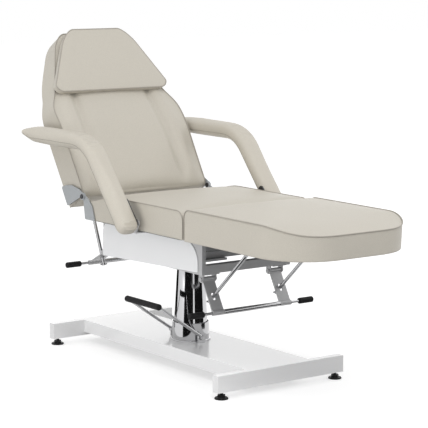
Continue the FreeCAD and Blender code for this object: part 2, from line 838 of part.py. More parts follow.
def adjusting_rod(pin, hole):
    along = (hole - pin).normalize()
    side = Vector(0, rod_y, 0)
    end = hole + along * rod_tail
    stop = hole + along * (rod_tail - rod_stop_inset)
    shaft = rod_between(pin + side, end + side, rod_radius)
    eye = pin_y(pin.x, pin.z, rod_y - rod_eye_width / 2, rod_y + rod_eye_width / 2, rod_eye_radius)
    stop_pin = pin_y(stop.x, stop.z, rod_y - rod_stop_length / 2, rod_y + rod_stop_length / 2, rod_stop_radius)
    bore = pin_y(pin.x, pin.z, rod_y - rod_eye_width, rod_y + rod_eye_width, rod_pin_radius + running_fit)
    return fused([shaft, eye, stop_pin]).cut(bore)


def rod_bracket(pin, board_face):
    """Two ears and a pin under a board whose lower face is at board_face."""
    half = rod_eye_width / 2 + side_play
    y_in = rod_y - half - rod_ear_thickness
    y_out = rod_y + half + rod_ear_thickness
    pieces = [box(pin.x - rod_bracket_half_length, pin.x + rod_bracket_half_length, y_in, y_out,
                  board_face - rod_bracket_base, board_face)]
    for start in (y_in, rod_y + half):
        pieces.append(box(pin.x - rod_ear_half_width, pin.x + rod_ear_half_width, start, start + rod_ear_thickness,
                          pin.z, board_face))
        pieces.append(pin_y(pin.x, pin.z, start, start + rod_ear_thickness, rod_ear_half_width))
    pieces.append(pin_y(pin.x, pin.z, y_in, y_out, rod_pin_radius))
    return fused(pieces)


# backrest lock: rod pin on the board, slot in the plate, both at one radius from the hinge line
back_hole = lock_hole_point(back_lock_pivot, back_lock_bar, back_lock_hole)
back_radius = (back_hole - hinge_line).Length
back_pin_h = -back_depth - board_proud - back_rod_stand_off
back_pin_flat = back_at(math.sqrt(back_radius ** 2 - back_pin_h ** 2), back_pin_h)
back_pin = raise_back(Part.Vertex(back_pin_flat)).Point
back_clevis_foot = (frame_rear - clevis_base, frame_rear, back_lock_pivot[1] - clevis_ear_radius, rail_bottom + rail_size)

# leg rest lock
leg_hinge_line = Vector(leg_hinge_x, 0, leg_hinge_z)
leg_hole = lock_hole_point(leg_lock_pivot, leg_lock_bar, leg_lock_hole)
leg_radius = (leg_hole - leg_hinge_line).Length
leg_pin_drop = leg_rod_stand_off - leg_hinge_drop
leg_pin = leg_hinge_line + Vector(math.sqrt(leg_radius ** 2 - leg_pin_drop ** 2), 0, -leg_pin_drop)
leg_clevis_foot = (leg_lock_pivot[0] - clevis_ear_radius, frame_front, rail_bottom - clevis_base, rail_bottom)

lock_sets = [
    ("back", back_lock_pivot, back_lock_bar, back_lock_hole, back_pin, back_hole, back_clevis_foot),
    ("leg", leg_lock_pivot, leg_lock_bar, leg_lock_hole, leg_pin, leg_hole, leg_clevis_foot),
]
for part_name, pivot, bar, hole, pin, hole_point, foot in lock_sets:
    plate = lock_plate(pivot, bar, hole)
    rod = adjusting_rod(pin, hole_point)
    save("%s_lock_plate_left" % part_name, plate)
    save("%s_lock_plate_right" % part_name, mirrored(plate))
    save("%s_rod_left" % part_name, rod)
    save("%s_rod_right" % part_name, mirrored(rod))
    save("%s_lock_brackets" % part_name, both_sides(lock_clevis(pivot, foot)))
    save("%s_release_bar" % part_name, release_bar(bar))
    save("%s_release_grips" % part_name, both_sides(release_grip(bar)))
back_board_face = hinge_z - back_depth - board_proud
save("back_rod_brackets", both_sides(raise_back(rod_bracket(back_pin_flat, back_board_face))))
save("leg_rod_brackets", both_sides(rod_bracket(leg_pin, frame_top)))


# Armrests: a flat bar on a pin beside the seat, with a bent pad bolted to its outer face
def arm_path(tip_x, y):
    lean = math.radians(arm_lean)
    pivot = Vector(arm_pivot_x, y, arm_pivot_z)
    corner = Vector(arm_pivot_x - (arm_top_z - arm_pivot_z) * math.tan(lean), y, arm_top_z)
    tip = Vector(tip_x, y, arm_top_z)
    up = (corner - pivot).normalize()
    back = (tip - corner).normalize()
    half_angle = (up * -1).getAngle(back) / 2
    reach = arm_bend_radius / math.tan(half_angle)
    sagitta = arm_bend_radius / math.sin(half_angle) - arm_bend_radius
    middle = corner + (back - up).normalize() * sagitta
    start, end = corner - up * reach, corner + back * reach
    return Part.Wire([Part.LineSegment(pivot, start).toShape(), Part.Arc(start, middle, end).toShape(),
                      Part.LineSegment(end, tip).toShape()])


def arm_outline(tip_x, half_height, y):
    return arm_path(tip_x, y).makeOffset2D(half_height, 0, False, False)


def arm_pad():
    y0 = arm_pad_start
    y1 = y0 + arm_pad_width
    levels = [(y0, arm_pad_half_height - arm_pad_edge), (y0 + arm_pad_edge, arm_pad_half_height),
              (y1 - arm_pad_edge, arm_pad_half_height), (y1, arm_pad_half_height - arm_pad_edge)]
    return Part.makeLoft([arm_outline(arm_tip_x, half, y) for y, half in levels], True, True)


def arm_bar():
    y0 = arm_pad_start - arm_bar_thickness
    lean = math.radians(arm_lean)
    corners = []
    for along, square in ((-1, -1), (-1, 1), (1, 1), (1, -1)):
        up = arm_bar_half_height * -1 if along < 0 else arm_bar_length
        ahead = square * arm_bar_half_height + arm_bar_forward
        corners.append((arm_pivot_x - up * math.sin(lean) + ahead * math.cos(lean),
                        arm_pivot_z + up * math.cos(lean) + ahead * math.sin(lean)))
    bar = plate_xz(corners, [arm_bar_half_height * 0.8] * 4, y0, y0 + arm_bar_thickness)
    return bar.cut(pin_y(arm_pivot_x, arm_pivot_z, y0, y0 + arm_bar_thickness, arm_pin_radius + running_fit))


def arm_bracket():
    bar_face = arm_pad_start - arm_bar_thickness
    y0 = arm_ear_start
    y1 = y0 + arm_ear_thickness
    foot_z = frame_top - arm_ear_thickness
    x1 = arm_pivot_x - arm_ear_set_back
    x0 = x1 - 2 * arm_ear_half_width
    eye = arm_ear_half_width * math.sqrt(0.5)
    outline = [Vector(x0, y0, foot_z), Vector(x1, y0, foot_z), Vector(arm_pivot_x + eye, y0, arm_pivot_z - eye),
               Vector(arm_pivot_x - eye, y0, arm_pivot_z + eye)]
    ear = Part.Face(Part.makePolygon(outline + outline[:1])).extrude(Vector(0, arm_ear_thickness, 0))
    pieces = [box(x0, x1, y1 - arm_foot_depth, y1, foot_z, frame_top),
              ear,
              pin_y(arm_pivot_x, arm_pivot_z, y0, y1, arm_ear_half_width),
              pin_y(arm_pivot_x, arm_pivot_z, y1, bar_face - side_play, arm_collar_radius),
              pin_y(arm_pivot_x, arm_pivot_z, y1, arm_pad_start - side_play, arm_pin_radius)]
    return fused(pieces)


for side_name, place in (("left", lambda s: s), ("right", mirrored)):
    save("arm_bracket_%s" % side_name, place(arm_bracket()))
    save("arm_bar_%s" % side_name, place(arm_bar()))
    save("arm_pad_%s" % side_name, place(arm_pad()))


# Move the origin under the middle of the whole bed and write the files
whole = Part.makeCompound(list(finished.values())).optimalBoundingBox()
to_origin = Vector(-(whole.XMin + whole.XMax) / 2, 0, 0)
for name, shape in finished.items():
    moved = shape.copy()
    moved.translate(to_origin)
    moved.exportStep("parts/%s.step" % name)
print("moved by", to_origin)
print("backrest rod pin", back_pin, "slot", back_hole)
print("leg rest rod pin", leg_pin, "slot", leg_hole)
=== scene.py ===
import bpy
import math
from mathutils import Matrix, Vector


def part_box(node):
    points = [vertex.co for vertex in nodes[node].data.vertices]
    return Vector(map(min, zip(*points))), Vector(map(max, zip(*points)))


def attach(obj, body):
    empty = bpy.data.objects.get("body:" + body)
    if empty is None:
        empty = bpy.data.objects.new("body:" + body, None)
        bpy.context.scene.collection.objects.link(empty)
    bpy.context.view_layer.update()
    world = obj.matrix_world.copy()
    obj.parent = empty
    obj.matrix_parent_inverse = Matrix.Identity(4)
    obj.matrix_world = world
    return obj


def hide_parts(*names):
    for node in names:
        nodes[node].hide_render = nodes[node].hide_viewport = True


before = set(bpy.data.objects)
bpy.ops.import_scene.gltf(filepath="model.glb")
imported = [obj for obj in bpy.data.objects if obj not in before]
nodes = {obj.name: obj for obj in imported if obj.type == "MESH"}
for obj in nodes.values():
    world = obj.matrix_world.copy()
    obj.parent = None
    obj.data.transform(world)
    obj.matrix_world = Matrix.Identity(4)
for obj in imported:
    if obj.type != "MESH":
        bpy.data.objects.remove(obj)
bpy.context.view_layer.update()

ramLow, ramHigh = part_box("lift_ram")
columnX = (ramLow[0] + ramHigh[0]) / 2  # the column stands here


def clearSelection():
    if bpy.context.mode != "OBJECT":
        bpy.ops.object.mode_set(mode="OBJECT")
    bpy.ops.object.select_all(action="DESELECT")


def pick(obj):
    clearSelection()
    obj.select_set(True)
    bpy.context.view_layer.objects.active = obj


def smoothStep(low, high, value):
    share = min(1.0, max(0.0, (value - low) / (high - low)))
    return share * share * (3 - 2 * share)


def bell(value, centre, width):
    return math.exp(-((value - centre) / width) ** 2)


# materials: shared node groups first
def newGroup(name, inputs, outputs):
    group = bpy.data.node_groups.new(name, "ShaderNodeTree")
    for socketName, kind, value in inputs:
        socket = group.interface.new_socket(name=socketName, in_out="INPUT", socket_type=kind)
        socket.default_value = value
    for socketName, kind in outputs:
        group.interface.new_socket(name=socketName, in_out="OUTPUT", socket_type=kind)
    entry = group.nodes.new("NodeGroupInput")
    leave = group.nodes.new("NodeGroupOutput")
    return group, entry, leave


def addNoise(tree, scale, detail=3.0, roughness=0.5):
    noise = tree.nodes.new("ShaderNodeTexNoise")
    noise.inputs["Scale"].default_value = scale
    noise.inputs["Detail"].default_value = detail
    noise.inputs["Roughness"].default_value = roughness
    return noise


def addRange(tree, source, low, high, outLow, outHigh):
    span = tree.nodes.new("ShaderNodeMapRange")
    for socketName, value in (("From Min", low), ("From Max", high), ("To Min", outLow), ("To Max", outHigh)):
        span.inputs[socketName].default_value = value
    tree.links.new(source, span.inputs["Value"])
    return span.outputs["Result"]


def addMix(tree, factor, colourA, colourB, blend="MIX"):
    mix = tree.nodes.new("ShaderNodeMix")
    mix.data_type = "RGBA"
    mix.blend_type = blend
    for socket, value in ((mix.inputs[0], factor), (mix.inputs[6], colourA), (mix.inputs[7], colourB)):
        if hasattr(value, "is_output"):
            tree.links.new(value, socket)
        else:
            socket.default_value = value
    return mix.outputs[2]


def addMath(tree, operation, a, b):
    node = tree.nodes.new("ShaderNodeMath")
    node.operation = operation
    for socket, value in ((node.inputs[0], a), (node.inputs[1], b)):
        if hasattr(value, "is_output"):
            tree.links.new(value, socket)
        else:
            socket.default_value = value
    return node.outputs[0]


def buildWearGroup():  # a soft mottle for colour and roughness, and dust that settles on what faces up
    group, entry, leave = newGroup("surfaceTone", [
        ("Color", "NodeSocketColor", (0.5, 0.5, 0.5, 1)), ("Mottle Scale", "NodeSocketFloat", 6.0),
        ("Mottle", "NodeSocketFloat", 0.05), ("Rough Low", "NodeSocketFloat", 0.3),
        ("Rough High", "NodeSocketFloat", 0.4), ("Dust", "NodeSocketFloat", 0.05)],
        [("Color", "NodeSocketColor"), ("Roughness", "NodeSocketFloat")])
    coords = group.nodes.new("ShaderNodeTexCoord")
    noise = addNoise(group, 6.0, 4.0)
    group.links.new(coords.outputs["Object"], noise.inputs["Vector"])
    group.links.new(entry.outputs["Mottle Scale"], noise.inputs["Scale"])
    centred = addMath(group, "SUBTRACT", noise.outputs["Fac"], 0.5)
    swing = addMath(group, "MULTIPLY", centred, entry.outputs["Mottle"])
    bright = group.nodes.new("ShaderNodeHueSaturation")
    group.links.new(entry.outputs["Color"], bright.inputs["Color"])
    group.links.new(addMath(group, "ADD", swing, 1.0), bright.inputs["Value"])
    geometry = group.nodes.new("ShaderNodeNewGeometry")
    split = group.nodes.new("ShaderNodeSeparateXYZ")
    group.links.new(geometry.outputs["Normal"], split.inputs[0])
    facing = addRange(group, split.outputs["Z"], 0.75, 1.0, 0.0, 1.0)
    fine = addNoise(group, 90.0, 5.0, 0.65)
    group.links.new(coords.outputs["Object"], fine.inputs["Vector"])
    settled = addMath(group, "MULTIPLY", facing, addRange(group, fine.outputs["Fac"], 0.45, 0.75, 0.0, 1.0))
    dusty = addMath(group, "MULTIPLY", settled, entry.outputs["Dust"])
    tone = addMix(group, dusty, bright.outputs["Color"], (0.62, 0.60, 0.57, 1))
    group.links.new(tone, leave.inputs["Color"])
    wide = addMath(group, "SUBTRACT", entry.outputs["Rough High"], entry.outputs["Rough Low"])
    spread = addMath(group, "MULTIPLY", noise.outputs["Fac"], wide)
    group.links.new(addMath(group, "ADD", spread, entry.outputs["Rough Low"]), leave.inputs["Roughness"])
    return group


def buildHideGroup():  # the grain of coated upholstery hide: pebbles, finer wrinkles
    group, entry, leave = newGroup("hideGrain", [
        ("Pebble Scale", "NodeSocketFloat", 700.0), ("Wrinkle", "NodeSocketFloat", 0.5)],
        [("Height", "NodeSocketFloat"), ("Pit", "NodeSocketFloat")])
    coords = group.nodes.new("ShaderNodeTexCoord")
    pebble = group.nodes.new("ShaderNodeTexVoronoi")
    pebble.feature = "SMOOTH_F1"
    group.links.new(coords.outputs["Object"], pebble.inputs["Vector"])
    group.links.new(entry.outputs["Pebble Scale"], pebble.inputs["Scale"])
    fold = addNoise(group, 55.0, 6.0, 0.6)
    group.links.new(coords.outputs["Object"], fold.inputs["Vector"])
    wrinkle = addMath(group, "MULTIPLY", fold.outputs["Fac"], entry.outputs["Wrinkle"])
    group.links.new(addMath(group, "ADD", pebble.outputs["Distance"], wrinkle), leave.inputs["Height"])
    group.links.new(addRange(group, pebble.outputs["Distance"], 0.2, 0.7, 0.0, 1.0), leave.inputs["Pit"])
    return group


def buildSpeckGroup():  # metal flakes and orange peel of a sprayed coat
    group, entry, leave = newGroup("sprayCoat", [
        ("Flake Scale", "NodeSocketFloat", 900.0), ("Peel Scale", "NodeSocketFloat", 160.0)],
        [("Flake", "NodeSocketFloat"), ("Peel", "NodeSocketFloat")])
    coords = group.nodes.new("ShaderNodeTexCoord")
    flake = group.nodes.new("ShaderNodeTexVoronoi")
    group.links.new(coords.outputs["Object"], flake.inputs["Vector"])
    group.links.new(entry.outputs["Flake Scale"], flake.inputs["Scale"])
    grey = group.nodes.new("ShaderNodeRGBToBW")
    group.links.new(flake.outputs["Color"], grey.inputs[0])
    group.links.new(grey.outputs[0], leave.inputs["Flake"])
    peel = addNoise(group, 160.0, 2.0)
    group.links.new(coords.outputs["Object"], peel.inputs["Vector"])
    group.links.new(entry.outputs["Peel Scale"], peel.inputs["Scale"])
    group.links.new(peel.outputs["Fac"], leave.inputs["Peel"])
    return group


toneGroup = buildWearGroup()
hideGroup = buildHideGroup()
sprayGroup = buildSpeckGroup()


def newMaterial(name):
    material = bpy.data.materials.new(name)
    material.use_nodes = True
    return material, material.node_tree, material.node_tree.nodes["Principled BSDF"]


def placeGroup(tree, group, values):
    node = tree.nodes.new("ShaderNodeGroup")
    node.node_tree = group
    for socketName, value in values.items():
        node.inputs[socketName].default_value = value
    return node


def addBump(tree, height, distance, strength, shader):
    bump = tree.nodes.new("ShaderNodeBump")
    bump.inputs["Distance"].default_value = distance
    bump.inputs["Strength"].default_value = strength
    tree.links.new(height, bump.inputs["Height"])
    tree.links.new(bump.outputs["Normal"], shader.inputs["Normal"])


def makeHide(name, colour):
    material, tree, shader = newMaterial(name)
    tone = placeGroup(tree, toneGroup, {"Color": colour, "Mottle Scale": 9.0, "Mottle": 0.07, "Rough Low": 0.40,
                                        "Rough High": 0.52, "Dust": 0.0})
    grain = placeGroup(tree, hideGroup, {"Pebble Scale": 620.0, "Wrinkle": 0.35})
    darker = tuple(c * 0.90 for c in colour[:3]) + (1,)
    tinted = addMix(tree, grain.outputs["Pit"], tone.outputs["Color"], darker)
    tree.links.new(tinted, shader.inputs["Base Color"])
    tree.links.new(tone.outputs["Roughness"], shader.inputs["Roughness"])
    shader.inputs["Specular IOR Level"].default_value = 0.28
    shader.inputs["Sheen Weight"].default_value = 0.03
    shader.inputs["Sheen Roughness"].default_value = 0.4
    addBump(tree, grain.outputs["Height"], 0.0006, 0.30, shader)
    return material


def makeCoat(name, colour, roughness, flakes, metallic=0.0, peel=0.10):
    material, tree, shader = newMaterial(name)
    tone = placeGroup(tree, toneGroup, {"Color": colour, "Mottle Scale": 4.0, "Mottle": 0.03,
                                        "Rough Low": roughness - 0.04, "Rough High": roughness + 0.06, "Dust": 0.04})
    spray = placeGroup(tree, sprayGroup, {"Flake Scale": 1100.0, "Peel Scale": 210.0})
    lighter = tuple(min(1.0, c * (1 + flakes)) for c in colour[:3]) + (1,)
    speckled = addMix(tree, addMath(tree, "MULTIPLY", spray.outputs["Flake"], min(1.0, flakes * 2)),
                      tone.outputs["Color"], lighter)
    tree.links.new(speckled, shader.inputs["Base Color"])
    tree.links.new(tone.outputs["Roughness"], shader.inputs["Roughness"])
    shader.inputs["Metallic"].default_value = metallic
    shader.inputs["Coat Weight"].default_value = 0.25
    shader.inputs["Coat Roughness"].default_value = 0.12
    addBump(tree, spray.outputs["Peel"], 0.0004, peel, shader)
    return material


def makeMetal(name, colour, roughLow, roughHigh):
    material, tree, shader = newMaterial(name)
    tone = placeGroup(tree, toneGroup, {"Color": colour, "Mottle Scale": 30.0, "Mottle": 0.06,
                                        "Rough Low": roughLow, "Rough High": roughHigh, "Dust": 0.03})
    tree.links.new(tone.outputs["Color"], shader.inputs["Base Color"])
    tree.links.new(tone.outputs["Roughness"], shader.inputs["Roughness"])
    shader.inputs["Metallic"].default_value = 1.0
    return material


def makeRubber(name, colour, roughness):
    material, tree, shader = newMaterial(name)
    tone = placeGroup(tree, toneGroup, {"Color": colour, "Mottle Scale": 40.0, "Mottle": 0.2,
                                        "Rough Low": roughness - 0.06, "Rough High": roughness + 0.08, "Dust": 0.03})
    shader.inputs["Specular IOR Level"].default_value = 0.22
    grain = placeGroup(tree, hideGroup, {"Pebble Scale": 1100.0, "Wrinkle": 0.2})
    tree.links.new(tone.outputs["Color"], shader.inputs["Base Color"])
    tree.links.new(tone.outputs["Roughness"], shader.inputs["Roughness"])
    addBump(tree, grain.outputs["Height"], 0.0004, 0.25, shader)
    return material


def makeLining(name):  # dark woven dust cover stapled over the underside of each board
    material, tree, shader = newMaterial(name)
    coords = tree.nodes.new("ShaderNodeTexCoord")
    threads = []
    for direction in ("X", "Y"):
        wave = tree.nodes.new("ShaderNodeTexWave")
        wave.bands_direction = direction
        wave.inputs["Scale"].default_value = 210.0
        wave.inputs["Distortion"].default_value = 0.6
        tree.links.new(coords.outputs["Object"], wave.inputs["Vector"])
        threads.append(wave.outputs["Fac"])
    weave = addMath(tree, "MULTIPLY", threads[0], threads[1])
    tree.links.new(addMix(tree, weave, (0.055, 0.055, 0.058, 1), (0.12, 0.12, 0.125, 1)), shader.inputs["Base Color"])
    shader.inputs["Roughness"].default_value = 0.85
    addBump(tree, weave, 0.0004, 0.3, shader)
    return material


hideMaterial = makeHide("greigeHide", (0.615, 0.579, 0.507, 1))
armHideMaterial = makeHide("armHide", (0.64, 0.60, 0.523, 1))
# piping in the cover hide, darkened well below it to paint the shade line along each seam
pipingShadeMaterial = makeHide("pipingHide", (0.43, 0.40, 0.35, 1))
# the seam line on the arm pads, darkened to paint the shade along it
seamShadeMaterial = makeHide("seamThread", (0.36, 0.335, 0.29, 1))
whiteMaterial = makeCoat("whitePowderCoat", (0.94, 0.94, 0.945, 1), 0.17, 0.02)
coverMaterial = makeCoat("whiteCover", (0.92, 0.925, 0.935, 1), 0.22, 0.02)
silverMaterial = makeCoat("silverCoat", (0.46, 0.46, 0.465, 1), 0.36, 0.25, metallic=0.30, peel=0.2)
plateMaterial = makeCoat("greyPlate", (0.40, 0.42, 0.435, 1), 0.42, 0.05)
rodMaterial = makeMetal("polishedRod", (0.53, 0.53, 0.54, 1), 0.12, 0.22)
chromeMaterial = makeMetal("brightChrome", (0.52, 0.52, 0.53, 1), 0.035, 0.09)
steelMaterial = makeMetal("zincSteel", (0.60, 0.60, 0.61, 1), 0.16, 0.28)
# blackened steel for the hinge bolts; the same near-black on the arm bars paints the shade in the gap between arm pad
# and seat
darkBoltAndGapShadeMaterial = makeMetal("blackenedSteel", (0.10, 0.10, 0.105, 1), 0.28, 0.40)
rubberMaterial = makeRubber("blackRubber", (0.012, 0.012, 0.013, 1), 0.58)
footMaterial = makeRubber("blackFoot", (0.014, 0.014, 0.015, 1), 0.42)
liningMaterial = makeLining("boardLining")
print("materials", len(bpy.data.materials))

finishes = {
    whiteMaterial: ["base_box", "front_cross_tube", "rear_cross_tube"],
    coverMaterial: ["side_cover_left", "side_cover_right"],
    chromeMaterial: ["lower_sleeve", "upper_sleeve", "base_ring", "pump_cylinder", "lift_ram"],
    rodMaterial: ["pedal_loop", "back_rod_left", "back_rod_right", "leg_rod_left", "leg_rod_right", "back_release_bar",
                  "leg_release_bar"],
    steelMaterial: ["pedal_lugs", "seat_hinge_leaves", "leg_hinge_leaves"],
    # on the arm bars this near-black is painted shade for the gap beside the seat
    darkBoltAndGapShadeMaterial: ["back_hinge_bolts", "arm_bar_left", "arm_bar_right"],
    silverMaterial: ["column_plate", "frame_side_left", "frame_side_right", "frame_front_rail", "frame_rear_rail",
                     "column_beam_front", "column_beam_rear", "back_lock_brackets", "leg_lock_brackets",
                     "back_lock_plate_left", "back_lock_plate_right", "leg_lock_plate_left", "leg_lock_plate_right",
                     "back_rod_brackets", "leg_rod_brackets", "arm_bracket_left", "arm_bracket_right"],
    plateMaterial: ["seat_hinge_plate_left", "seat_hinge_plate_right", "back_hinge_plate_left",
                    "back_hinge_plate_right"],
    rubberMaterial: ["pedal_grip", "back_release_grips", "leg_release_grips"],
    footMaterial: ["foot_front_left", "foot_front_right", "foot_rear_left", "foot_rear_right"],
    liningMaterial: ["seat_board", "leg_board", "back_board"],
}
for material, names in finishes.items():
    for name in names:
        nodes[name].data.materials.clear()
        nodes[name].data.materials.append(material)


# cushions: a bevelled block is remeshed while it is square, bent to its outline, then blown up as cloth
clothSettings = {
    "voxel": 0.006, "frames": 20, "pressure": 4.0, "stiffness": 12, "quality": 4,
    "pinReach": 0.008,  # how far from a seam the cover is held
    "footBand": 0.012,  # the lowest band of a pad is held to its board
    "skin": 0.004,  # a point this close to a wall belongs to it
    "wallShare": 0.35,  # walls swell less than tops
}
nearly = 0.001  # slack when edges are picked by their place
sideInset = 0.002
pipeStart = 0.004  # piping begins this far above the board
runOver = 0.2  # a seam's drawing runs on this far past the part that is used


def bevelEdges(obj, choose, width, segments):
    pick(obj)
    bpy.ops.object.mode_set(mode="EDIT")
    bpy.ops.mesh.select_mode(type="EDGE")
    bpy.ops.mesh.select_all(action="DESELECT")
    bpy.ops.object.mode_set(mode="OBJECT")
    points = obj.data.vertices
    for edge in obj.data.edges:
        a, b = (points[i].co for i in edge.vertices)
        edge.select = choose(a, b)
    bpy.ops.object.mode_set(mode="EDIT")
    bpy.ops.mesh.bevel(offset=width, segments=segments, profile=0.5, affect="EDGES")
    bpy.ops.object.mode_set(mode="OBJECT")


def squareBlock(name, low, high):
    clearSelection()
    middle = [(a + b) / 2 for a, b in zip(low, high)]
    bpy.ops.mesh.primitive_cube_add(size=1, location=middle)
    block = bpy.context.object
    block.name = name
    block.scale = [b - a for a, b in zip(low, high)]
    bpy.ops.object.transform_apply(location=True, rotation=True, scale=True)
    return block


def blowUp(obj, pinned, share, cap):  # cloth pressure: pinned holds the seams, share tones the swelling down
    start = [v.co.copy() for v in obj.data.vertices]
    holder = obj.vertex_groups.new(name="held")
    holder.add([i for i in range(len(start)) if pinned[i]], 1.0, "REPLACE")
    pick(obj)
    bpy.ops.object.modifier_add(type="CLOTH")
    cloth = obj.modifiers[-1]
    cloth.settings.use_pressure = True
    cloth.settings.uniform_pressure_force = clothSettings["pressure"]
    cloth.settings.vertex_group_mass = "held"
    cloth.settings.effector_weights.gravity = 0
    cloth.settings.tension_stiffness = clothSettings["stiffness"]
    cloth.settings.compression_stiffness = clothSettings["stiffness"]
    cloth.settings.quality = clothSettings["quality"]
    cloth.point_cache.frame_start = 1
    cloth.point_cache.frame_end = clothSettings["frames"]
    for number in range(1, clothSettings["frames"] + 1):
        bpy.context.scene.frame_set(number)
    bpy.ops.object.modifier_apply(modifier=cloth.name)
    bpy.context.scene.frame_set(1)
    for vertex, before, part in zip(obj.data.vertices, start, share):
        move = (vertex.co - before) * part
        if move.length > cap:
            move = move.normalized() * cap
        vertex.co = before + move
    obj.vertex_groups.clear()


def smoothOver(obj, rounds):
    pick(obj)
    smooth = obj.modifiers.new("Smooth", "SMOOTH")
    smooth.factor = 0.5
    smooth.iterations = rounds
    bpy.ops.object.modifier_apply(modifier=smooth.name)


def finishPad(obj, material, body, replaced):
    smoothOver(obj, 3)
    bpy.ops.object.shade_smooth()
    obj.data.materials.clear()
    obj.data.materials.append(material)
    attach(obj, body)
    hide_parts(*replaced)


def tubeAlong(name, points, radius, material, body, closed=False):
    curve = bpy.data.curves.new(name, "CURVE")
    curve.dimensions = "3D"
    curve.bevel_depth = radius
    curve.bevel_resolution = 2
    spline = curve.splines.new("POLY")
    spline.points.add(len(points) - 1)
    for point, place in zip(spline.points, points):
        point.co = (*place, 1)
    spline.use_cyclic_u = closed
    tube = bpy.data.objects.new(name, curve)
    bpy.context.collection.objects.link(tube)
    pick(tube)
    bpy.ops.object.convert(target="MESH")
    bpy.ops.object.shade_smooth()
    tube.data.materials.clear()
    tube.data.materials.append(material)
    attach(tube, body)


def roundedRun(corners, radii, step=0.006):  # dense run of plane points along straight lines and corner arcs
    run = []
    count = len(corners)
    for i in range(count):
        here = Vector(corners[i])
        before = Vector(corners[i - 1]) - here
        after = Vector(corners[(i + 1) % count]) - here
        if radii[i] == 0:
            run.append(here)
            continue
        before.normalize()
        after.normalize()
        half = before.angle(after) / 2
        reach = radii[i] / math.tan(half)
        middle = here + (before + after).normalized() * (radii[i] / math.sin(half))
        a, b = here + before * reach, here + after * reach
        startAngle = math.atan2(a.y - middle.y, a.x - middle.x)
        turn = math.atan2(b.y - middle.y, b.x - middle.x) - startAngle
        turn = (turn + math.pi) % (2 * math.pi) - math.pi
        pieces = max(3, int(abs(turn) * radii[i] / step))
        for k in range(pieces + 1):
            angle = startAngle + turn * k / pieces
            run.append(middle + Vector((math.cos(angle), math.sin(angle))) * radii[i])
    dense = []
    for i in range(len(run)):
        a, b = run[i], run[(i + 1) % len(run)]
        pieces = max(1, int((b - a).length / step))
        for k in range(pieces):
            dense.append(a.lerp(b, k / pieces))
    return dense


def aboveBoard(run, level):  # a closed run without its stretch along the board, from one end of the gap to the other
    first = next(i for i in range(len(run)) if run[i].y > level and run[i - 1].y <= level)
    ordered = run[first:] + run[:first]
    return [p for p in ordered if p.y > level]


def cornerDepth(across, along, halfAcross, radius):  # distance in from an edge with rounded corners at one end
    over = max(0.0, radius - along)
    side = max(0.0, abs(across) - (halfAcross - radius))
    if over > 0 and side > 0:
        return radius - math.hypot(over, side)
    return min(along, halfAcross - abs(across))


def upright(a, b):
    return abs(a.z - b.z) > 0.01


def remesh(obj, voxel):
    obj.data.remesh_voxel_size = voxel
    pick(obj)
    bpy.ops.object.voxel_remesh()


# seat cushion
seatLow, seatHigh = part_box("seat_cushion")
seatSettings = {
    "rear": seatLow[0], "front": seatHigh[0], "halfWidth": seatHigh[1], "bottom": seatLow[2],
    "seam": seatLow[2] + 0.101, "frontRound": 0.034, "rearRound": 0.030, "rearDrop": 0.032, "dropReach": 0.20,
    "endBand": 0.03, "endShare": 0.10, "crownCap": 0.020, "pipe": 0.0020, "pipeSink": 0.0005,
}


def seatBend(s, point):  # the top falls towards the back
    x, y, z = point
    height = (z - s["bottom"]) / (s["seam"] - s["bottom"])
    return Vector((x, y, z - s["rearDrop"] * height * (1 - smoothStep(0.0, s["dropReach"], x - s["rear"]))))


def buildSeat(s):
    edgeY = s["halfWidth"] - sideInset
    pad = squareBlock("seatPad", (s["rear"], -edgeY, s["bottom"]), (s["front"], edgeY, s["seam"]))
    bevelEdges(pad, lambda a, b: min(a.z, b.z) > s["seam"] - nearly and min(a.x, b.x) > s["front"] - nearly,
               s["frontRound"], 8)
    bevelEdges(pad, lambda a, b: min(a.z, b.z) > s["seam"] - nearly and max(a.x, b.x) < s["rear"] + nearly,
               s["rearRound"], 8)
    remesh(pad, clothSettings["voxel"])
    reach, skin = clothSettings["pinReach"], clothSettings["skin"]
    pinned, share = [], []
    for v in pad.data.vertices:
        side = abs(abs(v.co.y) - edgeY) < skin
        nearSeam = abs(v.co.y) > edgeY - reach and not (side and v.co.z < s["seam"] - reach
                                                         and s["rear"] + reach < v.co.x < s["front"] - reach)
        low = v.co.z < s["bottom"] + clothSettings["footBand"]
        pinned.append(nearSeam or low)
        atEnd = v.co.x < s["rear"] + skin or v.co.x > s["front"] - skin
        endFace = v.co.z < s["seam"] - s["endBand"] and atEnd
        share.append(s["endShare"] if endFace else (clothSettings["wallShare"] if side else 1.0))
    for v in pad.data.vertices:
        v.co = seatBend(s, v.co)
    blowUp(pad, pinned, share, s["crownCap"])
    finishPad(pad, hideMaterial, "seat", ["seat_cushion"])
    profile = roundedRun([(s["rear"], s["bottom"]), (s["front"], s["bottom"]), (s["front"], s["seam"]),
                          (s["rear"], s["seam"])], [0, 0, s["frontRound"], s["rearRound"]])
    run = aboveBoard(profile, s["bottom"] + pipeStart)
    for sideName, side in (("Right", -1), ("Left", 1)):
        seam = [seatBend(s, (p.x, side * (edgeY - s["pipeSink"]), p.y)) for p in run]
        tubeAlong("seatPiping" + sideName, seam, s["pipe"], pipingShadeMaterial, "seat")


buildSeat(seatSettings)
print("seat cushion done")


# leg rest cushion
legLow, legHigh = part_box("leg_cushion")
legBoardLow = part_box("leg_board")[0]
legSettings = {
    "rear": legLow[0], "front": legHigh[0] - 0.006, "halfWidth": seatHigh[1],
    "bottom": legBoardLow[2] + 0.001,  # the cover is drawn down round the edge of the board
    "seam": legLow[2] + 0.109, "rearRound": 0.026, "droopStart": 0.70, "droop": 0.028, "noseSetBack": 0.006,
    "leanStart": 0.55, "cornerRadius": 0.185, "rearBand": 0.03, "rearShare": 0.15, "crownCap": 0.018, "pipe": 0.0022,
}


